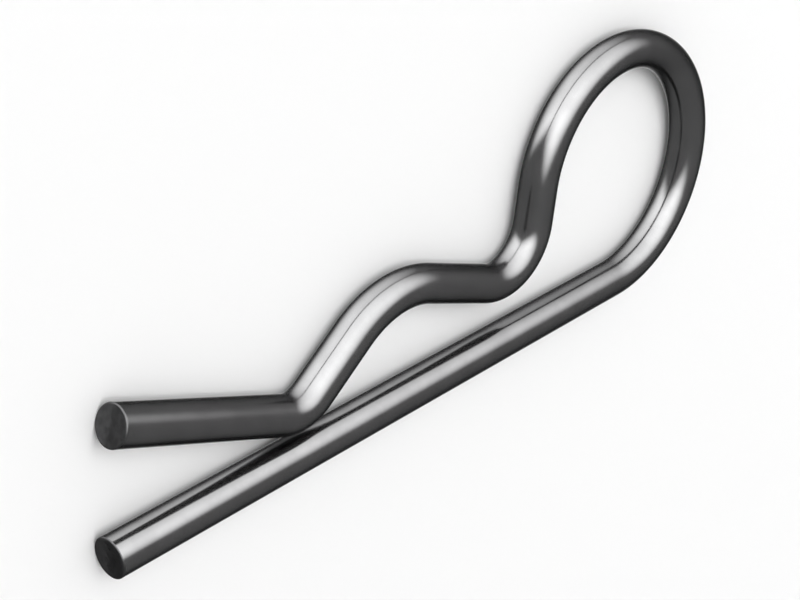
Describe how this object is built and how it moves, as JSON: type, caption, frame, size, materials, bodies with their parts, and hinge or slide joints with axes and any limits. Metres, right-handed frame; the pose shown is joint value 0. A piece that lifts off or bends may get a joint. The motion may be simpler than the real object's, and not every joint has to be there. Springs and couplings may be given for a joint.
{
  "type": "hitch r clip pin",
  "caption": "Round spring wire bent into an R: straight leg, open loop, hump that snaps over a shaft and a flared lead-in end; holds a hitch pin or clevis pin in place.",
  "frame": {"origin": "on the straight leg's axis under the crown of the hump, where the held shaft's own axis crosses the leg", "axes": "+X along the straight leg towards the loop, +Y in the clip's plane from the straight leg to the bent leg, +Z square to that plane; the clip lies flat"},
  "size_m": [0.0847, 0.0301, 0.004],
  "materials": {
    "wire": "polished"
  },
  "bodies": {
    "root": {"clip": "wire"}
  },
  "joints": []
}
